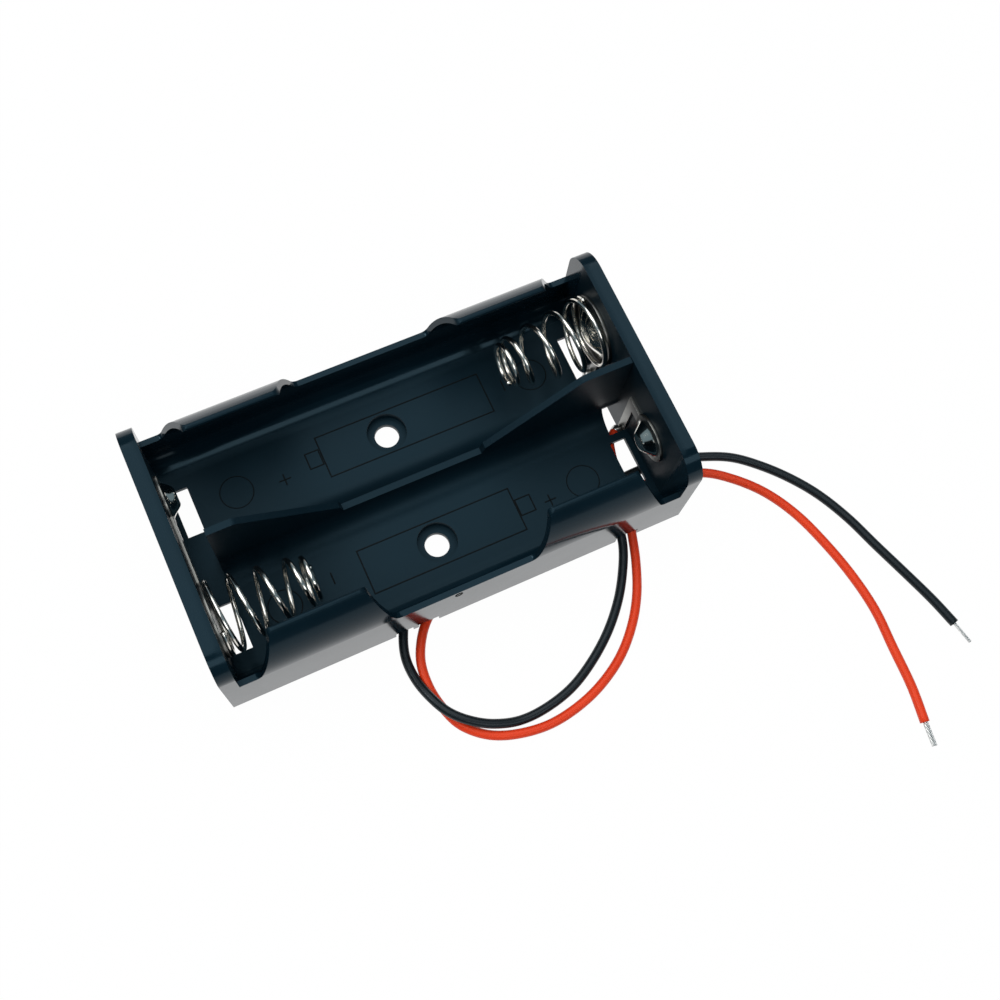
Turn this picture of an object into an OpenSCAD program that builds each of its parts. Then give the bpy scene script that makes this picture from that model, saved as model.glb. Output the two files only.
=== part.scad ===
// Open holder for two side-by-side cylindrical cells, with two leads.
// X runs along the cells, Y across them and Z up. The origin is the centre
// of the rim that the holder stands on.

/* [Cells] */
// Distance between the axes of the two cells
bay_pitch = 15.1; // [15:0.1:15.6]
// Inner radius of a bay
bay_r = 7.25; // [7.2:0.05:7.4]
// Length of a bay, between the two end plates
bay_l = 54.5; // [54:0.5:56]
// Height of the axis about which a bay's wall is curled
curl_z = 9.5; // [9:0.1:10]
// Angle between the vertical and the lip of a curled wall
lip_angle = 40; // [36:1:46]

/* [Body] */
// Height of the end plates
body_h = 16.5; // [16.2:0.1:18]
// Thickness of the end plates
plate_t = 1.85; // [1.6:0.05:2.2]
// Radius of the end plates' top corners
corner_r = 3.6; // [2:0.1:4]
// Thickness of the side walls
wall_t = 0.7; // [0.65:0.05:0.9]
// Thickness of the divider between the bays
divider_t = 0.8; // [0.6:0.1:1]
// Height of the floor's top face
floor_z = 3; // [2.9:0.1:3.1]
// Thickness of the floor
floor_t = 0.6; // [0.5:0.05:0.6]
// Radius between the floor and the upright walls
fillet_r = 3; // [2.6:0.1:3.4]

/* [Screw holes] */
// Radius of the screw holes
screw_r = 1.5; // [1.2:0.1:1.7]
// Radius of the counterbores for the screw heads
head_r = 2.45; // [2.3:0.05:2.7]
// Depth of the counterbores
head_depth = 1.2; // [0.8:0.1:1.3]

/* [Contacts] */
// Thickness of the contact plates
strip_t = 0.35; // [0.25:0.05:0.4]
// Height of the positive contacts' domes
dome_h = 1.3; // [0.8:0.1:1.6]
// Wire diameter of the springs
spring_wire = 0.6; // [0.5:0.05:0.8]
// Free length of the springs
spring_l = 12; // [10:0.5:13]
// Outer diameter of a spring at its plate
spring_base_d = 9.2; // [8.6:0.1:9.8]
// Outer diameter of a spring at its free end
spring_tip_d = 5.2; // [4.8:0.1:7]

/* [Leads] */
// Outer diameter of the leads
lead_d = 1.15; // [0.9:0.05:1.2]

/* [Hidden] */
$fn = 64;
slack = 1; // how far a cutting shape runs past what it cuts

half_pitch = bay_pitch / 2;
half_l = bay_l / 2;
side_y = half_pitch + bay_r + wall_t;
divider_y = divider_t / 2;

// The side walls are low at their ends and in the middle, with high curled
// stretches between. Each corner is [x, z, radius], for x from 0 to the plate.
low_z = curl_z - 0.4;
high_z = curl_z + (bay_r + wall_t) * cos(lip_angle) + 0.1;
mid_gap = 8.5;
end_gap = 2.5;
mid_run = 2.6; // length of the slope at the middle gap
end_run = 2.7; // length of the slope at an end gap
wall_corners = [[mid_gap, low_z, 1], [mid_gap + mid_run, high_z, 1.2],
    [half_l - end_gap - end_run, high_z, 1], [half_l - end_gap, low_z, 0.8]];

// The divider is highest at the plates, slopes down and is cut to a low web.
ridge_z = body_h - 0.2;
ridge_flat = 6.2;
slope_foot = [9.2, floor_z + 4.3];
web_foot = [8.6, floor_z + 2.05];
ridge_corners = [[web_foot[0], web_foot[1], 0.3], [slope_foot[0], slope_foot[1], 0.3],
    [half_l - ridge_flat, ridge_z, 1.2]];

// Windows in the floor at the ends of the bays
window_x = 2.05;
window_y = 6;
window_gap = 0.75; // from a window to the end plate

// Contacts stand against the inner faces of the end plates: a round pad with
// a dome for each positive one, and a wider pad under the foot of each spring.
contact_z = curl_z;
dome_pad_r = 3;
dome_r = 2.3;
spring_pad_r = 4.5;
low_dome_r = 2;
low_dome_h = 0.9;
link_h = 3;
arm_h = 1.8;
tail_w = 1.2;
tail_z = 1.3;
red_tail_y = -2.9;
black_tail_y = 5.3;
solder_r = 0.75;
solder_z = 1.55;

// Springs: share of the free length reached at each turn of the wire, with a
// closed turn at the foot, wide open turns, and close turns at the free end
spring_rise = [[0, 0], [0.75, 0], [1.05, 0.07], [1.9, 0.29], [2.9, 0.57],
    [3.75, 0.82], [4.15, 0.9], [4.9, 0.965], [5.55, 1]];
spring_turns = spring_rise[len(spring_rise) - 1][0];
spring_start = 36; // angle of the wire's start from the vertical
turn_steps = 18;
base_r = (spring_base_d - spring_wire) / 2;
tip_r = (spring_tip_d - spring_wire) / 2;
foot_gap = 0.02; // between a spring's foot and its pad

// Notches under the rim, [from, to, height], in the near wall and the right plate
near_notches = [[20.3, 23.05, 1.95], [-8.75, -6.5, 1.25], [-5.85, -3.2, 1.25]];
right_notch = [-11.45, -7.85, 1.25];

// The leads, from their solder joints: out below the near wall, round a loop,
// back below the holder and out to the right. They lie on the table, and rise
// where one crosses over the other.
red_route = [
    [26.1, -3, 1.8], [25, -3.9, 1.8], [24.4, -5.6, 1.8], [23.9, -8, 1.8],
    [23.4, -10.6, 1.8], [22.9, -13.2, 1.6], [22.3, -15.8, 1], [21.3, -19, 0.6],
    [19.6, -22.6, 0.6], [17.3, -25.8, 0.6], [14.3, -28.6, 0.6], [10.6, -30.7, 0.6],
    [6.8, -31.9, 0.6], [3, -32.3, 0.6], [-0.8, -31.7, 0.6], [-3.8, -30.4, 0.6],
    [-6.1, -28.2, 0.6], [-7.2, -25.6, 0.6], [-7.7, -22.7, 0.6], [-7.4, -19.6, 0.6],
    [-6.1, -16.9, 0.6], [-4.3, -14.9, 0.6], [-2, -13.6, 0.6], [1.5, -12.9, 0.6],
    [6, -12.6, 0.6], [11, -12.2, 0.6], [16, -11.6, 0.6], [21, -10.9, 0.6],
    [25.5, -10.4, 0.6], [30, -10.8, 0.6], [34.2, -12, 0.6], [37.3, -14.2, 0.6],
    [40.2, -17.4, 0.6], [42.4, -21.4, 0.6], [43.9, -26, 0.6], [45, -31, 0.6],
    [45.5, -36, 0.6], [45.2, -41, 0.6], [44.9, -46, 0.6], [44.2, -50.4, 0.6]];
black_route = [
    [26.1, 5, 1.8], [25.2, 3.4, 1.8], [24.3, 1.2, 1.8], [23.4, -2, 1.8],
    [22.5, -6, 1.8], [21.8, -10, 1.8], [21.3, -13.3, 1.6], [20.8, -16.2, 1],
    [19.5, -19, 0.6], [17.3, -22.2, 0.6], [14.4, -25.2, 0.6], [11, -27.7, 0.6],
    [7.5, -29.5, 0.6], [3.8, -30.4, 0.6], [0.4, -30.5, 0.8], [-2.6, -29.7, 1.4],
    [-5, -28.3, 1.8], [-6.9, -26.4, 1.9], [-8.1, -24, 1.7], [-8.8, -21.2, 1],
    [-8.8, -18.3, 0.6], [-7.9, -15.6, 0.6], [-6.4, -13.3, 0.6], [-4, -11.9, 0.6],
    [-0.5, -11.5, 0.6], [3.5, -11.2, 0.6], [8, -10.7, 0.6], [13, -10, 0.6],
    [18, -9.3, 0.6], [23, -8.7, 0.6], [27, -8.5, 0.6], [31, -8.8, 0.6],
    [34.9, -10, 0.6], [38.4, -11.6, 0.6], [41.3, -14, 0.6], [44, -17, 0.6],
    [46.3, -20.4, 0.6], [48.2, -24.5, 0.6], [49.7, -29, 0.6], [51.3, -33.6, 0.6],
    [52.7, -37.8, 0.6], [53.7, -41.5, 0.6]];
red_tip = [[44.4, -49.2, 0.6], [44.1, -51.5, 0.6], [43.9, -53.3, 0.5]];
black_tip = [[53.5, -40.6, 0.6], [54, -42.8, 0.55], [54.4, -44.3, 0.4]];

// Unit vector along v
function unit(v) = v / norm(v);

// Arc of radius r that rounds the corner p between its neighbours a and b
function corner_arc(a, p, b, r, steps = 8) =
    let (u = unit(a - p), v = unit(b - p), half = acos(u * v) / 2,
        centre = p + unit(u + v) * r / sin(half),
        from = p + u * r / tan(half) - centre,
        to = p + v * r / tan(half) - centre,
        turn = atan2(cross(from, to), from * to))
    [for (i = [0:steps]) let (t = turn * i / steps)
        centre + [from[0] * cos(t) - from[1] * sin(t), from[0] * sin(t) + from[1] * cos(t)]];

function flat(corner) = [corner[0], corner[1]];

// Outline through corners [x, z, radius], from the point first to the point last
function rounded(first, corners, last) =
    let (all = concat([first], [for (c = corners) flat(c)], [last]))
    concat([first], [for (i = [0:len(corners) - 1])
        each corner_arc(all[i], all[i + 1], all[i + 2], corners[i][2])], [last]);

// Ring of points about p, square to the direction t
function ring(p, t, r, sides) =
    let (side = unit(cross(t, [0, 0, 1] + 0.01 * [t[1], t[2], t[0]])), up = cross(side, t))
    [for (k = [0:sides - 1]) let (a = 360 * (k + 0.5) / sides)
        p + r * (side * cos(a) + up * sin(a))];

function heading(path, i) =
    unit(path[min(i + 1, len(path) - 1)] - path[max(i - 1, 0)]);

// Rod of radius r swept along a path
module rod(path, r, sides = 8) {
    n = len(path);
    points = [for (i = [0:n - 1]) each ring(path[i], heading(path, i), r, sides)];
    skin = [for (i = [0:n - 2], k = [0:sides - 1])
        let (a = i * sides + k, b = i * sides + (k + 1) % sides)
        each [[a, b, b + sides], [a, b + sides, a + sides]]];
    caps = [[for (k = [sides - 1:-1:0]) k], [for (k = [0:sides - 1]) (n - 1) * sides + k]];
    polyhedron(points, concat(skin, caps));
}

// Outline in Y and Z drawn out along X, and in X and Z along Y
module along_x(length) rotate([90, 0, 90]) linear_extrude(length, center = true) children();
module along_y(length) rotate([90, 0, 0]) linear_extrude(length, center = true) children();

module both_sides() {
    children();
    mirror([0, 1, 0]) children();
}

module both_ends() {
    children();
    mirror([1, 0, 0]) children();
}

// Side wall of a bay: the skirt and upright wall, and the curl with its round lip
module wall_section() {
    reach = 2 * bay_r;
    lip_r = bay_r + wall_t / 2;
    translate([bay_r, 0]) square([wall_t, curl_z]);
    translate([0, curl_z]) {
        intersection() {
            difference() {
                circle(bay_r + wall_t, $fn = 96);
                circle(bay_r, $fn = 96);
            }
            polygon([[0, 0], [reach, 0], [reach, reach], [reach * tan(lip_angle), reach]]);
        }
        translate(lip_r * [sin(lip_angle), cos(lip_angle)]) circle(wall_t / 2, $fn = 24);
    }
}

// Quarter ring that carries the floor round into a wall at y
module fillet_section(y) {
    translate([y - fillet_r, floor_z + fillet_r]) intersection() {
        difference() {
            circle(fillet_r + floor_t);
            circle(fillet_r);
        }
        translate([0, -2 * fillet_r]) square(2 * fillet_r);
    }
}

module floor_section() {
    left = fillet_r + divider_y - half_pitch;
    translate([left, floor_z - floor_t]) square([bay_r - fillet_r - left, floor_t]);
    fillet_section(bay_r);
    mirror([1, 0]) fillet_section(half_pitch - divider_y);
}

// Outlines in X and Z under which the side walls and the divider are cut
module wall_profile() {
    polygon(concat(rounded([0, low_z], wall_corners, [half_l, low_z]),
        [[half_l, 0], [0, 0]]));
}

module ridge_profile() {
    polygon(concat(rounded([0, web_foot[1]], ridge_corners, [half_l, ridge_z]),
        [[half_l, 0], [0, 0]]));
}

module side_walls() {
    both_sides() both_ends() intersection() {
        translate([0, half_pitch, 0]) along_x(bay_l) wall_section();
        along_y(3 * side_y) wall_profile();
    }
}

module trough() {
    both_sides() translate([0, half_pitch, 0]) along_x(bay_l) floor_section();
}

module divider() {
    root_z = floor_z + 1.3;
    both_ends() intersection() {
        translate([0, -divider_y, root_z]) cube([half_l, divider_t, body_h]);
        along_y(3 * divider_t) ridge_profile();
    }
}

// The divider stops short of the left plate, where the contacts' link passes.
link_gap = 3;
module link_cut() {
    translate([-half_l, -fillet_r - divider_y, floor_z])
        cube([link_gap, 2 * (fillet_r + divider_y), body_h]);
}

module link_floor() {
    translate([-half_l, -fillet_r - divider_y - 0.1, floor_z - floor_t])
        cube([link_gap + 0.1, 2 * (fillet_r + divider_y + 0.1), floor_t]);
}

module end_plate() {
    translate([half_l + plate_t / 2, 0, 0]) along_x(plate_t) {
        translate([-side_y, 0]) square([2 * side_y, body_h - corner_r]);
        translate([corner_r - side_y, 0]) square([2 * (side_y - corner_r), body_h]);
        for (side = [-1, 1])
            translate([side * (side_y - corner_r), body_h - corner_r]) circle(corner_r);
    }
}

boss_z = floor_z - 2;
module boss() translate([0, half_pitch, boss_z]) cylinder(r = head_r + 0.8, h = floor_z - boss_z);

module screw_hole() {
    translate([0, half_pitch, boss_z - slack]) cylinder(r = screw_r, h = floor_z);
    translate([0, half_pitch, floor_z - head_depth]) cylinder(r = head_r, h = head_depth + slack);
}

module window() {
    translate([half_l - window_gap - window_x, half_pitch - window_y / 2, floor_z - floor_t - slack])
        cube([window_x, window_y, floor_t + 2 * slack]);
}

// Opening beside the near right window, through which the red lead is soldered
module solder_opening() {
    translate([half_l - 2.25, -3.6, floor_z - floor_t - slack])
        cube([2.25, 3.2, floor_t + 3 * slack]);
}

// Slot in the floor for the negative terminal's tail
module tail_slot() {
    translate([half_l - window_gap - 0.1, black_tail_y - 0.8, 0])
        cube([window_gap + 0.1, 1.6, floor_z + slack]);
}

// Notches under the rim, where the leads pass
module lead_notches() {
    for (n = near_notches)
        translate([n[0], -side_y - slack, -slack])
            cube([n[1] - n[0], wall_t + 2 * slack, n[2] + slack]);
    translate([half_l - slack, right_notch[0], -slack])
        cube([plate_t + 2 * slack, right_notch[1] - right_notch[0], right_notch[2] + slack]);
}

module holder_body() {
    color([0.05, 0.06, 0.07]) difference() {
        union() {
            difference() {
                union() {
                    trough();
                    divider();
                }
                link_cut();
            }
            link_floor();
            side_walls();
            both_ends() end_plate();
            both_sides() boss();
        }
        both_sides() screw_hole();
        both_ends() both_sides() window();
        solder_opening();
        tail_slot();
        lead_notches();
    }
}

// Dome pressed out of a contact plate, towards -X
module dome(r, h) {
    ball_r = (r * r + h * h) / (2 * h);
    rotate([0, -90, 0]) intersection() {
        translate([0, 0, h - ball_r]) sphere(ball_r);
        cylinder(r = r, h = h);
    }
}

// Round pad against the right end plate, centred on the bay at y
module pad(y, r) {
    translate([half_l - strip_t, y, contact_z])
        rotate([0, 90, 0]) cylinder(r = r, h = strip_t);
}

// Flat piece of a contact plate, from y1 to y2 and from z1 to z2
module strip(y1, y2, z1, z2) {
    translate([half_l - strip_t, y1, z1]) cube([strip_t, y2 - y1, z2 - z1]);
}

module tail(y) strip(y - tail_w / 2, y + tail_w / 2, tail_z, contact_z);

module positive_terminal() {
    color("silver") union() {
        pad(-half_pitch, dome_pad_r);
        strip(-half_pitch, red_tail_y + tail_w / 2, contact_z - arm_h / 2, contact_z + arm_h / 2);
        tail(red_tail_y);
        translate([half_l - strip_t, -half_pitch, contact_z]) dome(dome_r, dome_h);
    }
}

module negative_terminal() {
    color("silver") union() {
        pad(half_pitch, spring_pad_r);
        tail(black_tail_y);
        translate([half_l - strip_t, half_pitch, contact_z]) dome(low_dome_r, low_dome_h);
    }
}

// One strip along the left end plate: a domed pad for one cell, a link past
// the divider, and the pad that carries the spring for the other cell
module link_plate() {
    color("silver") mirror([1, 0, 0]) union() {
        pad(half_pitch, dome_pad_r);
        strip(-half_pitch, half_pitch, contact_z - link_h / 2, contact_z + link_h / 2);
        pad(-half_pitch, spring_pad_r);
        translate([half_l - strip_t, half_pitch, contact_z]) dome(dome_r, dome_h);
    }
}

// Axis of a spring's wire, from its foot to its free end along +X
function spring_path() =
    [for (i = [0:spring_turns * turn_steps])
        let (t = i / turn_steps, a = 360 * t + spring_start,
            r = base_r + (tip_r - base_r) * max(0, t - 1) / (spring_turns - 1),
            rise = spring_wire / 2 + (spring_l - spring_wire) * lookup(t, spring_rise))
        [rise, -r * sin(a), r * cos(a)]];

// Spring on the left plate
module conical_spring() {
    translate([strip_t + foot_gap - half_l, 0, contact_z])
        rod(spring_path(), spring_wire / 2);
}

module left_spring() {
    color("silver") translate([0, -half_pitch, 0]) conical_spring();
}

module right_spring() {
    color("silver") translate([0, half_pitch, 0]) rotate([0, 0, 180]) conical_spring();
}

// Drop of solder that joins a lead to a terminal's tail
module solder(y) {
    translate([half_l - solder_r - 0.05, y, solder_z]) sphere(solder_r, $fn = 32);
}

module red_solder() {
    color("gainsboro") solder(red_tail_y);
}

module black_solder() {
    color("gainsboro") solder(black_tail_y);
}

module red_lead() {
    color("red") rod(red_route, lead_d / 2);
}

module black_lead() {
    color([0.1, 0.1, 0.1]) rod(black_route, lead_d / 2);
}

module red_lead_tip() {
    color("silver") rod(red_tip, 0.32);
}

module black_lead_tip() {
    color("silver") rod(black_tip, 0.2);
}

holder_body();
link_plate();
positive_terminal();
negative_terminal();
left_spring();
right_spring();
red_solder();
black_solder();
red_lead();
black_lead();
red_lead_tip();
black_lead_tip();
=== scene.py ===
# Open holder for two cylindrical cells: black moulded tray, nickel contacts,
# two coil springs and a red and a black lead with bare ends.
import math
import bmesh
import bpy
import numpy as np
from mathutils import Matrix, Vector


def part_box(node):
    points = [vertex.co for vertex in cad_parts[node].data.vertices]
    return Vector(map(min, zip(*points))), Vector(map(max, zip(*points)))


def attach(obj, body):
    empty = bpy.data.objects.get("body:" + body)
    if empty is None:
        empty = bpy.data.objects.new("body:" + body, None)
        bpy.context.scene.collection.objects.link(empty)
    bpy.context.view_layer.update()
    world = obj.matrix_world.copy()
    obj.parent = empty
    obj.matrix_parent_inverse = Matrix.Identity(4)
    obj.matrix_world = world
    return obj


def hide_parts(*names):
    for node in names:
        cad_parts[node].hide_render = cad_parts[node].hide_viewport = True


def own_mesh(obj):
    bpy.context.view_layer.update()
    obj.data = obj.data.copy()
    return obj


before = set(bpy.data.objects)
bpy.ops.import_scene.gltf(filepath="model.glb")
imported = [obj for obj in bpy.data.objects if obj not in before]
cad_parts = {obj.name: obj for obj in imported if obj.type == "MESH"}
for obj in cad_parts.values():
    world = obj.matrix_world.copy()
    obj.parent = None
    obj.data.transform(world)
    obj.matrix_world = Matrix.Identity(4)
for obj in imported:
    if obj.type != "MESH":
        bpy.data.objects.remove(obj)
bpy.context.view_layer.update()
mm = 0.001

bpy.context.scene.view_settings.view_transform = "Standard"


# eye is the camera's place in millimetres; right, down and ahead are the ways of its axes
viewpoint = {"eye": (-21.03, -45.10, 150.93), "right": (0.90578, -0.41817, 0.06854),
             "down": (-0.38088, -0.87432, -0.30082), "ahead": (0.18572, 0.24637, -0.95121),
             "lens": 46.71, "sensor": 36, "shiftX": 0.0053, "shiftY": 0.0111, "near": 0.005, "far": 20}


def addCamera():
    right, down, ahead = (Vector(viewpoint[key]) for key in ("right", "down", "ahead"))
    camera = bpy.data.cameras.new("camera")
    camera.lens = viewpoint["lens"]
    camera.sensor_width = viewpoint["sensor"]
    camera.shift_x = viewpoint["shiftX"]
    camera.shift_y = viewpoint["shiftY"]
    camera.clip_start = viewpoint["near"]
    camera.clip_end = viewpoint["far"]
    holder = bpy.data.objects.new("camera", camera)
    turn = Matrix((right, -down, -ahead)).transposed()
    holder.matrix_world = Matrix.Translation(Vector(viewpoint["eye"]) * mm) @ turn.to_4x4()
    bpy.context.collection.objects.link(holder)
    bpy.context.scene.camera = holder


addCamera()
print("camera placed")


def smoothPath(points, perSpan):
    # Catmull-Rom curve through the points, perSpan samples from each to the next
    p = np.asarray(points, float)
    padded = np.vstack([2 * p[0] - p[1], p, 2 * p[-1] - p[-2]])
    t = np.linspace(0, 1, perSpan, endpoint=False)[:, None, None]
    a, b, c, d = padded[:-3], padded[1:-2], padded[2:-1], padded[3:]
    curve = 0.5 * (2 * b + (c - a) * t + (2 * a - 5 * b + 4 * c - d) * t**2
                   + (3 * b - a - 3 * c + d) * t**3)
    return np.vstack([curve.transpose(1, 0, 2).reshape(-1, 3), p[-1:]])


def pathLength(path):
    # The sum of the distances from each point to the next
    return float(np.linalg.norm(np.diff(path, axis=0), axis=1).sum())


def unitRows(v):
    # Each row divided by its own length
    return v / np.linalg.norm(v, axis=1, keepdims=True)


def tube(path, radius, sides, guide):
    # A circle of the given radius carried along the path. guide is a direction that the
    # path never follows, from which each circle takes its turn. Its ends are flat discs.
    path = np.asarray(path, float)
    along = unitRows(np.gradient(path, axis=0))
    side = unitRows(np.cross(along, np.broadcast_to(guide, path.shape)))
    up = np.cross(side, along)
    angle = np.linspace(0, 2 * math.pi, sides, endpoint=False)[None, :, None]
    size = np.broadcast_to(radius, (len(path),))[:, None, None]
    rings = path[:, None] + size * (side[:, None] * np.cos(angle) + up[:, None] * np.sin(angle))
    rows, cols = np.meshgrid(np.arange(len(path) - 1), np.arange(sides), indexing="ij")
    here, beside = rows * sides + cols, rows * sides + (cols + 1) % sides
    quads = np.stack([here, here + sides, beside + sides, beside], -1).reshape(-1, 4)
    first = np.arange(sides).tolist()
    last = ((len(path) - 1) * sides + np.arange(sides)[::-1]).tolist()
    return rings.reshape(-1, 3), quads.tolist() + [first, last]


def stack(shells):
    # Closed shells put together as one: each one's points are numbered on from the last
    verts, faces, start = [], [], 0
    for shellVerts, shellFaces in shells:
        verts.append(shellVerts)
        faces += [[start + k for k in face] for face in shellFaces]
        start += len(shellVerts)
    return np.vstack(verts), faces


def capped(shell, tips):
    # A grid of points whose rows are rings, with each end of it closed by a fan of triangles
    # to a tip
    rings, around = shell.shape[:2]
    rows, cols = np.meshgrid(np.arange(rings - 1), np.arange(around), indexing="ij")
    here, beside = rows * around + cols, rows * around + (cols + 1) % around
    faces = np.stack([here, here + around, beside + around, beside], -1).reshape(-1, 4).tolist()
    first, last, end = rings * around, rings * around + 1, (rings - 1) * around
    faces += [[first, k, (k + 1) % around] for k in range(around)]
    faces += [[last, end + (k + 1) % around, end + k] for k in range(around)]
    return np.vstack([shell.reshape(-1, 3), tips]), faces


def roundEdges(piece, width, segments, angle):
    # A rounding on the edges that turn by more than the angle, in degrees, and shading
    # normals that follow the larger faces, so that flat ones stay flat
    bevel = piece.modifiers.new("bevel", "BEVEL")
    bevel.width = width
    bevel.segments = segments
    bevel.limit_method = "ANGLE"
    bevel.angle_limit = math.radians(angle)
    even = piece.modifiers.new("evenNormals", "WEIGHTED_NORMAL")
    even.keep_sharp = True


def makePiece(name, verts, faces, material, body, smooth=True):
    # A mesh of its own, with its place in its points, that rides on the named body
    mesh = bpy.data.meshes.new(name)
    mesh.from_pydata(np.asarray(verts).tolist(), [], faces)
    mesh.validate()
    mesh.polygons.foreach_set("use_smooth", [smooth] * len(mesh.polygons))
    mesh.materials.append(material)
    piece = bpy.data.objects.new(name, mesh)
    bpy.context.collection.objects.link(piece)
    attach(piece, body)
    return piece


def newMaterial(name):
    material = bpy.data.materials.new(name)
    material.use_nodes = True
    nodes = material.node_tree.nodes
    return material, nodes, material.node_tree.links, nodes["Principled BSDF"]


# broad is the mottling's scale, and share is how much of the fine noise is added to it. span
# is the range of their sum that goes from low to high, and patch is the range of the mottling
# that goes from shade to colour.
grainNoise = {"detail": 4, "broad": 160, "broadDetail": 3, "share": 0.5, "span": (0.45, 1.05),
              "patch": (0.35, 0.65)}


def makeGrainGroup():
    # Fine grain from two sizes of noise: a roughness, a height and a share for mottling
    group = bpy.data.node_groups.new("fineGrain", "ShaderNodeTree")
    face = group.interface
    face.new_socket("Vector", in_out="INPUT", socket_type="NodeSocketVector")
    for name in ("Scale", "Low", "High"):
        face.new_socket(name, in_out="INPUT", socket_type="NodeSocketFloat")
    for name in ("Roughness", "Height", "Mottle"):
        face.new_socket(name, in_out="OUTPUT", socket_type="NodeSocketFloat")
    nodes, links = group.nodes, group.links
    entry = nodes.new("NodeGroupInput")
    leave = nodes.new("NodeGroupOutput")
    fine = nodes.new("ShaderNodeTexNoise")
    fine.inputs["Detail"].default_value = grainNoise["detail"]
    broad = nodes.new("ShaderNodeTexNoise")
    broad.inputs["Scale"].default_value = grainNoise["broad"]
    broad.inputs["Detail"].default_value = grainNoise["broadDetail"]
    blend = nodes.new("ShaderNodeMath")
    blend.operation = "MULTIPLY_ADD"
    blend.inputs[1].default_value = grainNoise["share"]
    span = nodes.new("ShaderNodeMapRange")
    span.inputs["From Min"].default_value, span.inputs["From Max"].default_value = grainNoise["span"]
    patch = nodes.new("ShaderNodeMapRange")
    patch.inputs["From Min"].default_value, patch.inputs["From Max"].default_value = grainNoise["patch"]
    links.new(entry.outputs["Vector"], fine.inputs["Vector"])
    links.new(entry.outputs["Vector"], broad.inputs["Vector"])
    links.new(entry.outputs["Scale"], fine.inputs["Scale"])
    links.new(fine.outputs["Fac"], blend.inputs[0])
    links.new(broad.outputs["Fac"], blend.inputs[2])
    links.new(blend.outputs[0], span.inputs["Value"])
    links.new(entry.outputs["Low"], span.inputs["To Min"])
    links.new(entry.outputs["High"], span.inputs["To Max"])
    links.new(span.outputs["Result"], leave.inputs["Roughness"])
    links.new(fine.outputs["Fac"], leave.inputs["Height"])
    links.new(broad.outputs["Fac"], patch.inputs["Value"])
    links.new(patch.outputs["Result"], leave.inputs["Mottle"])
    return group


fineGrain = makeGrainGroup()


def addGrain(nodes, links, shader, look):
    # The look's colour mottled with its shade, over grain in the gloss and the height
    place = nodes.new("ShaderNodeTexCoord")
    grain = nodes.new("ShaderNodeGroup")
    grain.node_tree = fineGrain
    grain.inputs["Scale"].default_value = look["grain"]
    grain.inputs["Low"].default_value = look["low"]
    grain.inputs["High"].default_value = look["high"]
    bump = nodes.new("ShaderNodeBump")
    bump.inputs["Strength"].default_value = 1
    bump.inputs["Distance"].default_value = look["depth"]
    mottle = nodes.new("ShaderNodeMix")
    mottle.data_type = "RGBA"
    mottle.inputs["A"].default_value = look["shade"]
    mottle.inputs["B"].default_value = look["colour"]
    links.new(grain.outputs["Mottle"], mottle.inputs["Factor"])
    links.new(mottle.outputs["Result"], shader.inputs["Base Color"])
    links.new(place.outputs["Object"], grain.inputs["Vector"])
    links.new(grain.outputs["Roughness"], shader.inputs["Roughness"])
    links.new(grain.outputs["Height"], bump.inputs["Height"])
    links.new(bump.outputs["Normal"], shader.inputs["Normal"])
    return place, grain, mottle


# innerX and innerY are the half sizes of the space inside the walls. Faces in it are rougher
# by duller, and fade is how far that change runs to each side of its limits.
trayPlastic = {"colour": (0.0026, 0.01, 0.0158, 1), "shade": (0.0021, 0.0082, 0.0132, 1),
               "tint": (0.18, 0.31, 0.39, 1), "ior": 1.55, "grain": 2600, "low": 0.12, "high": 0.2,
               "depth": 0.0000015, "innerX": 0.0278, "innerY": 0.0128, "duller": 0.28,
               "fade": 0.0003, "level": 0.42}


def makeTrayPlastic():
    # inside is 1 where |X| is under innerX and |Y| is under innerY, and 0 elsewhere; the
    # roughness is the grain's plus duller times inside
    material, nodes, links, shader = newMaterial("trayPlastic")
    shader.inputs["IOR"].default_value = trayPlastic["ior"]
    shader.inputs["Specular IOR Level"].default_value = trayPlastic["level"]
    shader.inputs["Specular Tint"].default_value = trayPlastic["tint"]
    place, grain, _ = addGrain(nodes, links, shader, trayPlastic)
    parts = nodes.new("ShaderNodeSeparateXYZ")
    links.new(place.outputs["Object"], parts.inputs[0])
    inside = nodes.new("ShaderNodeMath")
    inside.operation = "MULTIPLY"
    for k, (axis, reach) in enumerate((("X", trayPlastic["innerX"]), ("Y", trayPlastic["innerY"]))):
        distance = nodes.new("ShaderNodeMath")
        distance.operation = "ABSOLUTE"
        fade = nodes.new("ShaderNodeMapRange")
        fade.inputs["From Min"].default_value = reach + trayPlastic["fade"]
        fade.inputs["From Max"].default_value = reach - trayPlastic["fade"]
        links.new(parts.outputs[axis], distance.inputs[0])
        links.new(distance.outputs[0], fade.inputs["Value"])
        links.new(fade.outputs["Result"], inside.inputs[k])
    rough = nodes.new("ShaderNodeMath")
    rough.operation = "MULTIPLY_ADD"
    rough.inputs[1].default_value = trayPlastic["duller"]
    links.new(inside.outputs[0], rough.inputs[0])
    links.new(grain.outputs["Roughness"], rough.inputs[2])
    links.new(rough.outputs[0], shader.inputs["Roughness"])
    return material


markPlastic = {"colour": (0.0015, 0.004, 0.005, 1), "shade": (0.0012, 0.0032, 0.004, 1), "level": 0.1,
               "grain": 2600, "low": 0.5, "high": 0.7, "depth": 0.000004}


def makeMarkPlastic():
    # The marks' steep little flanks hold no reflection, so they read darker than the floor; their colour is
    # also painted darker than the tray's, a painted shade
    material, nodes, links, shader = newMaterial("markPlastic")
    shader.inputs["Specular IOR Level"].default_value = markPlastic["level"]
    addGrain(nodes, links, shader, markPlastic)
    return material


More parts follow.
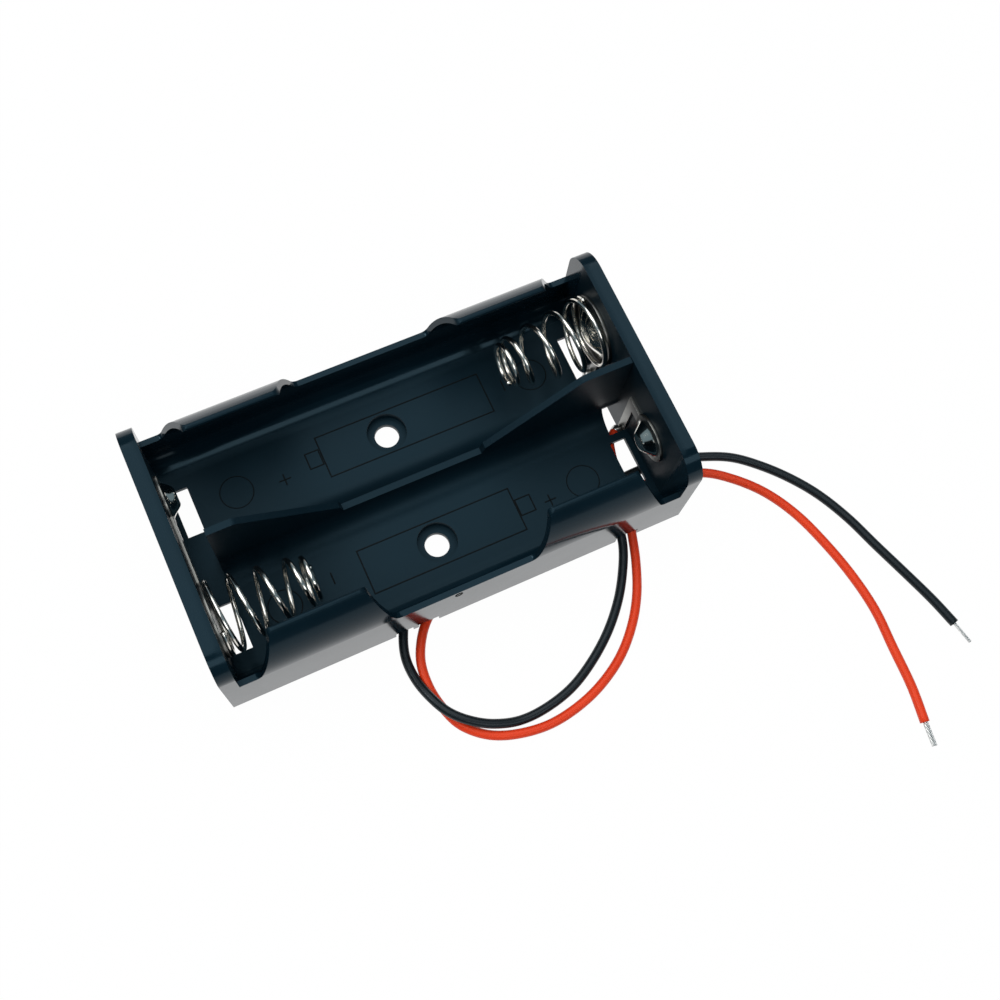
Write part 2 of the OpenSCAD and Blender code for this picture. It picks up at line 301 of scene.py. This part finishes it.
springNickel = {"name": "springNickel", "colour": (0.83, 0.8, 0.74, 1), "shade": (0.76, 0.73, 0.67, 1),
                "grain": 900, "low": 0.1, "high": 0.24, "depth": 0.000003}
# The strips are dull, and their colour is painted dark, a painted shade where the flat sheet would mirror the
# white floor. The buttons keep bright nickel where they stand up from the strips' face, at faceX: the change
# from painted shade to bright runs between the two heights given after faceX.
sheetNickel = {"name": "sheetNickel", "colour": (0.26, 0.26, 0.24, 1), "shade": (0.18, 0.18, 0.17, 1),
               "bright": (0.83, 0.81, 0.74, 1), "brightRough": 0.4, "faceX": 0.0269,
               "paintedShadeFade": (0.00004, 0.00016), "grain": 1400, "low": 0.26, "high": 0.4, "depth": 0.000002}
solderTin = {"name": "solderTin", "colour": (0.7, 0.7, 0.68, 1), "shade": (0.58, 0.58, 0.57, 1),
             "grain": 1500, "low": 0.2, "high": 0.4, "depth": 0.00001}


def makeMetal(look):
    material, nodes, links, shader = newMaterial(look["name"])
    shader.inputs["Metallic"].default_value = 1
    addGrain(nodes, links, shader, look)
    return material


def makeSheetNickel():
    # raised is 0 on the strips and 1 on the buttons: it mixes the colour from the strips' painted shade
    # towards bright, and the roughness towards brightRough times the grain's
    material, nodes, links, shader = newMaterial(sheetNickel["name"])
    shader.inputs["Metallic"].default_value = 1
    place, grain, mottle = addGrain(nodes, links, shader, sheetNickel)
    parts = nodes.new("ShaderNodeSeparateXYZ")
    distance = nodes.new("ShaderNodeMath")
    distance.operation = "ABSOLUTE"
    raised = nodes.new("ShaderNodeMapRange")
    raised.inputs["From Min"].default_value = sheetNickel["faceX"] - sheetNickel["paintedShadeFade"][0]
    raised.inputs["From Max"].default_value = sheetNickel["faceX"] - sheetNickel["paintedShadeFade"][1]
    paint = nodes.new("ShaderNodeMix")
    paint.data_type = "RGBA"
    paint.inputs["B"].default_value = sheetNickel["bright"]
    share = nodes.new("ShaderNodeMapRange")
    share.inputs["To Min"].default_value = 1
    share.inputs["To Max"].default_value = sheetNickel["brightRough"]
    rough = nodes.new("ShaderNodeMath")
    rough.operation = "MULTIPLY"
    links.new(place.outputs["Object"], parts.inputs[0])
    links.new(parts.outputs["X"], distance.inputs[0])
    links.new(distance.outputs[0], raised.inputs["Value"])
    links.new(raised.outputs["Result"], paint.inputs["Factor"])
    links.new(raised.outputs["Result"], share.inputs["Value"])
    links.new(mottle.outputs["Result"], paint.inputs["A"])
    links.new(paint.outputs["Result"], shader.inputs["Base Color"])
    links.new(grain.outputs["Roughness"], rough.inputs[0])
    links.new(share.outputs["Result"], rough.inputs[1])
    links.new(rough.outputs[0], shader.inputs["Roughness"])
    return material


redSkin = {"name": "redInsulation", "colour": (0.8, 0.05, 0.011, 1), "shade": (0.74, 0.042, 0.009, 1),
           "tint": (0.6, 0.5, 0.4, 1), "grain": 1800, "low": 0.32, "high": 0.46, "depth": 0.000004}
blackSkin = {"name": "blackInsulation", "colour": (0.0045, 0.008, 0.0095, 1),
             "shade": (0.0036, 0.0062, 0.0075, 1), "tint": (0.5, 0.55, 0.6, 1), "grain": 1800, "low": 0.3,
             "high": 0.44, "depth": 0.000004}


def makeInsulation(look):
    material, nodes, links, shader = newMaterial(look["name"])
    shader.inputs["Specular Tint"].default_value = look["tint"]
    addGrain(nodes, links, shader, look)
    return material


trayMaterial = makeTrayPlastic()
markMaterial = makeMarkPlastic()
springMaterial = makeMetal(springNickel)
sheetMaterial = makeSheetNickel()
solderMaterial = makeMetal(solderTin)
redMaterial = makeInsulation(redSkin)
blackMaterial = makeInsulation(blackSkin)
print("materials made")


# The routes run from the solder joints: out below the near wall, round a loop, back below
# the tray and out to the right. Points are in metres.
redLead = {"diameter": 0.00115, "length": 0.148, "route": [
    (0.0261, -0.003, 0.0018), (0.025, -0.0039, 0.0018), (0.0244, -0.0056, 0.0018),
    (0.0239, -0.008, 0.0018), (0.0234, -0.0106, 0.0018), (0.0229, -0.0132, 0.0016),
    (0.0223, -0.0158, 0.001), (0.0213, -0.019, 0.0006), (0.0196, -0.0226, 0.0006),
    (0.0173, -0.0258, 0.0006), (0.0143, -0.0286, 0.0006), (0.0106, -0.0307, 0.0006),
    (0.0068, -0.0319, 0.0006), (0.003, -0.0323, 0.0006), (-0.0008, -0.0317, 0.0006),
    (-0.0038, -0.0304, 0.0006), (-0.0061, -0.0282, 0.0006), (-0.0072, -0.0256, 0.0006),
    (-0.0077, -0.0227, 0.0006), (-0.0074, -0.0196, 0.0006), (-0.0061, -0.0169, 0.0006),
    (-0.0043, -0.0149, 0.0006), (-0.002, -0.0136, 0.0006), (0.0015, -0.0129, 0.0006),
    (0.006, -0.0126, 0.0006), (0.011, -0.0122, 0.0006), (0.016, -0.0116, 0.0006),
    (0.021, -0.0109, 0.0006), (0.0255, -0.0104, 0.0006), (0.03, -0.0108, 0.0006),
    (0.0342, -0.012, 0.0006), (0.0373, -0.0142, 0.0006), (0.0402, -0.0174, 0.0006),
    (0.0424, -0.0214, 0.0006), (0.0439, -0.026, 0.0006), (0.045, -0.031, 0.0006),
    (0.0455, -0.036, 0.0006), (0.0452, -0.041, 0.0006), (0.0449, -0.046, 0.0006),
    (0.0442, -0.0504, 0.0006)]}
blackLead = {"diameter": 0.00115, "length": 0.152, "route": [
    (0.0261, 0.005, 0.0018), (0.0252, 0.0034, 0.0018), (0.0243, 0.0012, 0.0018),
    (0.0234, -0.002, 0.0018), (0.0225, -0.006, 0.0018), (0.0218, -0.01, 0.0018),
    (0.0213, -0.0133, 0.0016), (0.0208, -0.0162, 0.001), (0.0195, -0.019, 0.0006),
    (0.0173, -0.0222, 0.0006), (0.0144, -0.0252, 0.0006), (0.011, -0.0277, 0.0006),
    (0.0075, -0.0295, 0.0006), (0.0038, -0.0304, 0.0006), (0.0004, -0.0305, 0.0008),
    (-0.0026, -0.0297, 0.0014), (-0.005, -0.0283, 0.0018), (-0.0069, -0.0264, 0.0019),
    (-0.0081, -0.024, 0.0017), (-0.0088, -0.0212, 0.001), (-0.0088, -0.0183, 0.0006),
    (-0.0079, -0.0156, 0.0006), (-0.0064, -0.0133, 0.0006), (-0.004, -0.0119, 0.0006),
    (-0.0005, -0.0115, 0.0006), (0.0035, -0.0112, 0.0006), (0.008, -0.0107, 0.0006),
    (0.013, -0.01, 0.0006), (0.018, -0.0093, 0.0006), (0.023, -0.0087, 0.0006),
    (0.027, -0.0085, 0.0006), (0.031, -0.0088, 0.0006), (0.0349, -0.01, 0.0006),
    (0.0384, -0.0116, 0.0006), (0.0413, -0.014, 0.0006), (0.044, -0.017, 0.0006),
    (0.0463, -0.0204, 0.0006), (0.0482, -0.0245, 0.0006), (0.0497, -0.029, 0.0006),
    (0.0513, -0.0336, 0.0006), (0.0527, -0.0378, 0.0006), (0.0537, -0.0415, 0.0006)]}
# follow is how many samples lie between the points of the cord's own path
leadMesh = {"perSpan": 8, "sides": 16, "follow": 4}
upward = (0, 0, 1)


def addLead(name, lead, material, node):
    # A round tube along the smoothed route, nowhere lower than its own radius
    path = smoothPath(lead["route"], leadMesh["perSpan"])
    path[:, 2] = np.maximum(path[:, 2], lead["diameter"] / 2)
    verts, faces = tube(path, lead["diameter"] / 2, leadMesh["sides"], upward)
    piece = makePiece(name, verts, faces, material, "holder")
    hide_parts(node)
    print(name, "is", round(pathLength(path) / mm, 1), "mm long")


# strand is a strand's radius, and twist is the length of one turn
redTip = {"route": [(0.0444, -0.0492, 0.0006), (0.0441, -0.0515, 0.0006), (0.0439, -0.0533, 0.0005)],
          "strand": 0.00011, "twist": 0.0038}
blackTip = {"route": [(0.0535, -0.0406, 0.0006), (0.054, -0.0428, 0.00055), (0.0544, -0.0443, 0.0004)],
            "strand": 0.000065, "twist": 0.0034}
tipMesh = {"perSpan": 14, "sides": 8, "wound": 6}


def addBareEnd(name, tip, node):
    # One strand along the middle and six wound round it as helices: each keeps two strand
    # radii off the middle, and its angle grows with the length run over the twist
    core = smoothPath(tip["route"], tipMesh["perSpan"])
    run = np.concatenate([[0], np.cumsum(np.linalg.norm(np.diff(core, axis=0), axis=1))])
    along = unitRows(np.gradient(core, axis=0))
    side = unitRows(np.cross(along, upward))
    up = np.cross(side, along)
    shells = []
    for strand in range(tipMesh["wound"] + 1):
        turn = (2 * math.pi * (run / tip["twist"] + strand / tipMesh["wound"]))[:, None]
        reach = 0 if strand == tipMesh["wound"] else 2 * tip["strand"]
        path = core + reach * (side * np.cos(turn) + up * np.sin(turn))
        path[:, 2] = np.maximum(path[:, 2], tip["strand"])
        shells.append(tube(path, tip["strand"], tipMesh["sides"], upward))
    piece = makePiece(name, *stack(shells), solderMaterial, "holder")
    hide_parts(node)
    return piece


redEnd = addBareEnd("redBareEnd", redTip, "red_lead_tip")
blackEnd = addBareEnd("blackBareEnd", blackTip, "black_lead_tip")
addLead("redLead", redLead, redMaterial, "red_lead")
addLead("blackLead", blackLead, blackMaterial, "black_lead")
print("leads laid")


# turnMarks and riseMarks pair the turns of wire with the share of the length reached:
# a closed turn at the foot, wide open turns, and close turns at the free end. wire is its
# radius, and meanOver is how many samples the running mean takes in.
spring = {"length": 0.012, "base": 0.0043, "tip": 0.0023, "wire": 0.0003, "startDegrees": 36,
          "axisY": 0.00755, "axisZ": 0.0095, "perTurn": 60, "sides": 14, "keep": 0.25,
          "turnMarks": (0, 0.75, 1.05, 1.9, 2.9, 3.75, 4.15, 4.9, 5.55),
          "riseMarks": (0, 0, 0.07, 0.29, 0.57, 0.82, 0.9, 0.965, 1), "meanOver": 25}


def addSpring(name, node, body, end):
    # A helix that runs out from the plate: its radius falls evenly from base to tip after the
    # first turn, and its rise follows the marks. end is -1 for the left plate, 1 for the right.
    low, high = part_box(node)
    plateX = low.x if end < 0 else high.x
    turns = spring["turnMarks"][-1]
    t = np.linspace(0, turns, int(turns * spring["perTurn"]) + 1)
    share = np.interp(t, spring["turnMarks"], spring["riseMarks"])
    # a running mean takes the corners out of the rise
    window = np.ones(spring["meanOver"]) / spring["meanOver"]
    share = np.convolve(np.pad(share, spring["meanOver"] // 2, mode="edge"), window, mode="valid")
    share = (share - share[0]) / (share[-1] - share[0])
    radius = spring["base"] + (spring["tip"] - spring["base"]) * np.maximum(0, t - 1) / (turns - 1)
    rise = spring["wire"] + (spring["length"] - 2 * spring["wire"]) * share
    angle = 2 * math.pi * t + math.radians(spring["startDegrees"])
    path = np.stack([plateX - end * rise, end * (spring["axisY"] + radius * np.sin(angle)),
                     spring["axisZ"] + radius * np.cos(angle)], 1)
    verts, faces = tube(path, spring["wire"], spring["sides"], (1, 0, 0))
    piece = makePiece(name, verts, faces, springMaterial, body)
    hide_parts(node)
    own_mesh(piece)


addSpring("nearSpring", "left_spring", "near_spring", -1)
addSpring("farSpring", "right_spring", "far_spring", 1)
print("springs wound")


# edge is the width of the rounding on edges that turn by more than angle, in degrees, and
# rings and around are the buttons' circles and the points on each
contact = {"thick": 0.00035, "plateX": 0.02725, "axisY": 0.00755, "axisZ": 0.0095, "padRadius": 0.003,
           "springPadRadius": 0.0045, "buttonFlat": 0.0009, "buttonFoot": 0.0025, "buttonHeight": 0.0013,
           "lowFlat": 0.0012, "lowFoot": 0.0038, "lowHeight": 0.0009, "bridgeLow": 0.008, "bridgeHigh": 0.011,
           "armLow": 0.0086, "armHigh": 0.0104, "tailLow": 0.0013, "tailHigh": 0.0095,
           "redTail": (-0.0035, -0.0023), "blackTail": (0.0047, 0.0059), "edge": 0.00004,
           "segments": 2, "angle": 50, "lap": 0.00003, "rings": 40, "around": 72}


def button(end, y, padRadius, flat, foot, height):
    # A disc turned about X with a raised button: full height inside the flat radius, and
    # down to nothing at the foot radius along 1 - 3s^2 + 2s^3
    rings, around = contact["rings"], contact["around"]
    r = np.linspace(padRadius, 0, rings)[:-1]
    s = np.clip((r - flat) / (foot - flat), 0, 1)
    out = contact["thick"] + height * (1 - 3 * s**2 + 2 * s**3)
    reach = np.concatenate([[padRadius], r])
    rise = np.concatenate([[0], out])
    v = np.linspace(0, 2 * math.pi, around, endpoint=False)[None, :]
    shell = np.stack([np.broadcast_to(end * (contact["plateX"] - rise[:, None]), (rings, around)),
                      y + reach[:, None] * np.cos(v), contact["axisZ"] + reach[:, None] * np.sin(v)], -1)
    tips = np.array([[end * contact["plateX"], y, contact["axisZ"]],
                     [end * (contact["plateX"] - out[-1]), y, contact["axisZ"]]])
    return capped(shell, tips)


def slab(end, y0, y1, z0, z1, laps):
    # A flat strip from y0 to y1 and z0 to z1, thinner by one lap for each shell it passes under
    back = end * contact["plateX"]
    front = end * (contact["plateX"] - contact["thick"] + laps * contact["lap"])
    verts = np.array([(x, y, z) for x in (back, front) for y in (y0, y1) for z in (z0, z1)])
    return verts, [[0, 1, 3, 2], [4, 6, 7, 5], [0, 4, 5, 1], [2, 3, 7, 6], [0, 2, 6, 4], [1, 5, 7, 3]]


def addContact(name, node, shells):
    # Overlapping shells as one piece, with their faces turned outwards and their edges rounded
    piece = makePiece(name, *stack(shells), sheetMaterial, "holder")
    grid = bmesh.new()
    grid.from_mesh(piece.data)
    bmesh.ops.recalc_face_normals(grid, faces=grid.faces)
    grid.to_mesh(piece.data)
    grid.free()
    roundEdges(piece, contact["edge"], contact["segments"], contact["angle"])
    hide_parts(node)


nearY, farY = -contact["axisY"], contact["axisY"]
highForm = (contact["buttonFlat"], contact["buttonFoot"], contact["buttonHeight"])
lowForm = (contact["lowFlat"], contact["lowFoot"], contact["lowHeight"])
levelForm = (contact["lowFlat"], contact["lowFoot"], 0)
addContact("linkPlate", "link_plate", [
    button(-1, farY, contact["padRadius"], *highForm),
    button(-1, nearY, contact["springPadRadius"], *levelForm),
    slab(-1, nearY, farY, contact["bridgeLow"], contact["bridgeHigh"], 1)])
addContact("positiveTerminal", "positive_terminal", [
    button(1, nearY, contact["padRadius"], *highForm),
    slab(1, nearY, contact["redTail"][1], contact["armLow"], contact["armHigh"], 1),
    slab(1, *contact["redTail"], contact["tailLow"], contact["tailHigh"], 2)])
addContact("negativeTerminal", "negative_terminal", [
    button(1, farY, contact["springPadRadius"], *lowForm),
    slab(1, *contact["blackTail"], contact["tailLow"], contact["tailHigh"], 1)])


# body and wave are shares of the joint's own radius
solder = {"body": 0.94, "wave": 0.05, "rings": 20, "around": 32}


def addSolder(name, node):
    # A ball whose radius is body + wave * sin 3u * cos 2v, as solder sets: u is the angle
    # from the top and v is the angle round it
    low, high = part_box(node)
    centre = np.array((low + high) / 2)
    size = (high.x - low.x) / 2
    u = np.linspace(0, math.pi, solder["rings"])[1:-1, None]
    v = np.linspace(0, 2 * math.pi, solder["around"], endpoint=False)[None, :]
    radius = size * (solder["body"] + solder["wave"] * np.sin(3 * u) * np.cos(2 * v))
    shell = np.stack([radius * np.sin(u) * np.cos(v), radius * np.sin(u) * np.sin(v),
                      radius * np.cos(u) * np.ones_like(v)], -1)
    tips = np.array([[0, 0, size * solder["body"]], [0, 0, -size * solder["body"]]])
    verts, faces = capped(shell, tips)
    piece = makePiece(name, verts + centre, faces, solderMaterial, "holder")
    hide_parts(node)


addSolder("redSolder", "red_solder")
addSolder("blackSolder", "black_solder")
print("contacts and solder made")


# edge is the rounding's width; angle and flat are in degrees
tray = {"edge": 0.00009, "segments": 2, "angle": 35, "merge": 0.000001, "flat": 0.5}


def addTray():
    # The CAD tray's own form: its points closer than merge are joined, its faces that turn by
    # less than flat are made one, and its edges that turn by more than angle are rounded
    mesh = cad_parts["holder_body"].data.copy()
    mesh.name = "trayBody"
    grid = bmesh.new()
    grid.from_mesh(mesh)
    bmesh.ops.remove_doubles(grid, verts=grid.verts, dist=tray["merge"])
    bmesh.ops.dissolve_limit(grid, angle_limit=math.radians(tray["flat"]), verts=grid.verts, edges=grid.edges)
    grid.to_mesh(mesh)
    grid.free()
    mesh.materials.clear()
    mesh.materials.append(trayMaterial)
    mesh.polygons.foreach_set("use_smooth", [True] * len(mesh.polygons))
    piece = bpy.data.objects.new("trayBody", mesh)
    bpy.context.collection.objects.link(piece)
    roundEdges(piece, tray["edge"], tray["segments"], tray["angle"])
    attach(piece, "holder")
    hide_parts("holder_body")


addTray()
print("tray made")


# Boxes are x0, x1, y0, y1, and signs and pins are x, y, all in millimetres. Lengths and the
# gate's place are in metres. section is the rib's own outline across: its two feet and the
# two edges of its top, as shares of its width.
marks = {"boxes": ((-9.2, 10.45, -10.4, -4.8), (10.6, 12.5, -8.6, -6.5), (-8.3, 13.2, 4.95, 10.3),
                   (-10.2, -8.5, 6.8, 8.8)),
         "plus": ((-13.5, 6.8), (14.6, -8.2)), "minus": ((-13, -6.7), (15.6, 7.6)), "armHalf": 0.75,
         "pins": ((-19.3, -7.6), (-19.3, 7.6), (19.3, -7.6), (19.3, 7.6)),
         "floorZ": 0.003, "height": 0.00005, "sink": 0.00002, "outline": 0.0002, "sign": 0.0002,
         "ring": 0.00014, "pinRadius": 0.002, "gateRadius": 0.00042, "gate": (-0.001, -0.0155, 0.0081),
         "section": (-0.5, -0.25, 0.25, 0.5), "around": 64}


def rib(points, width, closed):
    # A low ridge along a flat outline. At each corner both edges are moved out along the
    # mean of the two sides' normals, so that the ridge keeps its width round the corner.
    p = np.asarray(points, float)
    sides = np.roll(p, -1, axis=0) - p
    if not closed:
        sides[-1] = sides[-2]
    normal = unitRows(np.stack([-sides[:, 1], sides[:, 0]], 1))
    before = np.roll(normal, 1, axis=0)
    if not closed:
        before[0] = normal[0]
    mean = unitRows(normal + before)
    mitre = mean / np.sum(mean * normal, axis=1, keepdims=True)
    reach = np.array(marks["section"]) * width
    height = np.array([-marks["sink"], marks["height"], marks["height"], -marks["sink"]])
    flat = p[:, None] + reach[None, :, None] * mitre[:, None]
    level = np.broadcast_to(marks["floorZ"] + height[None, :, None], flat.shape[:2] + (1,))
    count = len(p) if closed else len(p) - 1
    rows, cols = np.meshgrid(np.arange(count), np.arange(4), indexing="ij")
    ahead, beside = (rows + 1) % len(p), (cols + 1) % 4
    quads = np.stack([rows * 4 + cols, rows * 4 + beside, ahead * 4 + beside, ahead * 4 + cols], -1)
    faces = quads.reshape(-1, 4).tolist()
    if not closed:
        last = (len(p) - 1) * 4
        faces += [[3, 2, 1, 0], [last, last + 1, last + 2, last + 3]]
    return np.concatenate([flat, level], 2).reshape(-1, 3), faces


def boxOutline(x0, x1, y0, y1):
    # The four corners, in metres
    return np.array([(x0, y0), (x1, y0), (x1, y1), (x0, y1)]) * mm


def ringOutline(x, y, radius):
    # Points evenly round a circle about x and y
    turn = np.linspace(0, 2 * math.pi, marks["around"], endpoint=False)
    return np.stack([x + radius * np.cos(turn), y + radius * np.sin(turn)], 1)


def stroke(x, y, dx, dy):
    # The two ends of a line through x and y, in metres
    return np.array([(x - dx, y - dy), (x + dx, y + dy)]) * mm


def addMarks():
    # A rib on the floor along each box, each stroke of the signs and a circle round each pin
    half = marks["armHalf"]
    ribs = [rib(boxOutline(*box), marks["outline"], True) for box in marks["boxes"]]
    for x, y in marks["plus"]:
        ribs.append(rib(stroke(x, y, half, 0), marks["sign"], False))
        ribs.append(rib(stroke(x, y, 0, half), marks["sign"], False))
    for x, y in marks["minus"]:
        ribs.append(rib(stroke(x, y, 0, half), marks["sign"], False))
    for x, y in marks["pins"]:
        ribs.append(rib(ringOutline(x * mm, y * mm, marks["pinRadius"]), marks["ring"], True))
    # the moulding gate's stub is a ring on the near wall: the same rib, stood up
    gate, gateFaces = rib(ringOutline(0, 0, marks["gateRadius"]), marks["outline"], True)
    gateX, wallY, gateZ = marks["gate"]
    stood = np.stack([gateX + gate[:, 0], wallY + marks["floorZ"] - gate[:, 2], gateZ + gate[:, 1]], 1)
    ribs.append((stood, gateFaces))
    piece = makePiece("floorMarks", *stack(ribs), markMaterial, "holder", smooth=False)


addMarks()
print("marks made")


def seenWhite(nodes, links, mix, share):
    # share of the mix goes to plain white for camera, glossy and transmission rays
    path = nodes.new("ShaderNodeLightPath")
    first = nodes.new("ShaderNodeMath")
    first.operation = "MAXIMUM"
    second = nodes.new("ShaderNodeMath")
    second.operation = "MAXIMUM"
    part = nodes.new("ShaderNodeMath")
    part.operation = "MULTIPLY"
    part.inputs[1].default_value = share
    links.new(path.outputs["Is Camera Ray"], first.inputs[0])
    links.new(path.outputs["Is Glossy Ray"], first.inputs[1])
    links.new(first.outputs[0], second.inputs[0])
    links.new(path.outputs["Is Transmission Ray"], second.inputs[1])
    links.new(second.outputs[0], part.inputs[0])
    links.new(part.outputs[0], mix.inputs[0])


# seen is how much of the floor is plain white to the camera and in gloss; the rest of it
# takes the light and the shadow
stage = {"half": 0.8, "white": (0.9, 0.9, 0.9, 1), "rough": 0.9, "seen": 0.985}


def addFloor():
    # A square at z = 0 that reaches half to each side
    half = stage["half"]
    mesh = bpy.data.meshes.new("floor")
    corners = [(-half, -half, 0), (half, -half, 0), (half, half, 0), (-half, half, 0)]
    mesh.from_pydata(corners, [], [(0, 1, 2, 3)])
    floor = bpy.data.objects.new("floor", mesh)
    bpy.context.collection.objects.link(floor)
    material = bpy.data.materials.new("floorWhite")
    material.use_nodes = True
    nodes, links = material.node_tree.nodes, material.node_tree.links
    nodes["Principled BSDF"].inputs["Base Color"].default_value = stage["white"]
    nodes["Principled BSDF"].inputs["Roughness"].default_value = stage["rough"]
    glow = nodes.new("ShaderNodeEmission")
    mix = nodes.new("ShaderNodeMixShader")
    seenWhite(nodes, links, mix, stage["seen"])
    links.new(nodes["Principled BSDF"].outputs[0], mix.inputs[1])
    links.new(glow.outputs[0], mix.inputs[2])
    links.new(mix.outputs[0], nodes["Material Output"].inputs["Surface"])
    mesh.materials.append(material)


sky = {"colour": (0.6, 0.85, 1, 1), "strength": 0.22, "seen": (1, 1, 1, 1)}


def addWorld():
    # Dim and a little blue on the object, and plain white to the camera
    world = bpy.data.worlds.new("studio")
    bpy.context.scene.world = world
    world.use_nodes = True
    nodes, links = world.node_tree.nodes, world.node_tree.links
    soft = nodes["Background"]
    soft.inputs["Color"].default_value = sky["colour"]
    soft.inputs["Strength"].default_value = sky["strength"]
    white = nodes.new("ShaderNodeBackground")
    white.inputs["Color"].default_value = sky["seen"]
    mix = nodes.new("ShaderNodeMixShader")
    path = nodes.new("ShaderNodeLightPath")
    links.new(path.outputs["Is Camera Ray"], mix.inputs[0])
    links.new(soft.outputs[0], mix.inputs[1])
    links.new(white.outputs[0], mix.inputs[2])
    links.new(mix.outputs[0], nodes["World Output"].inputs["Surface"])


# places and sizes are in metres, and power is in watts
lamps = {"topBox": {"place": (-0.1, 0.28, 0.8), "size": (1.3, 0.9), "power": 7},
         "frontBox": {"place": (0.05, -0.66, 0.8), "size": (0.8, 0.4), "power": 2.6},
         "leftBox": {"place": (-0.52, 0.2, 0.56), "size": (0.22, 0.22), "power": 0.9}}


def addLamp(name, place, size, power):
    # A rectangle of light, turned so that it faces the origin
    lamp = bpy.data.lights.new(name, "AREA")
    lamp.shape = "RECTANGLE"
    lamp.size, lamp.size_y = size
    lamp.energy = power
    holder = bpy.data.objects.new(name, lamp)
    aim = -Vector(place)
    holder.matrix_world = Matrix.Translation(place) @ aim.to_track_quat("-Z", "Y").to_matrix().to_4x4()
    bpy.context.collection.objects.link(holder)


addFloor()
addWorld()
for lampName, lampLook in lamps.items():
    addLamp(lampName, **lampLook)
print("stage set")
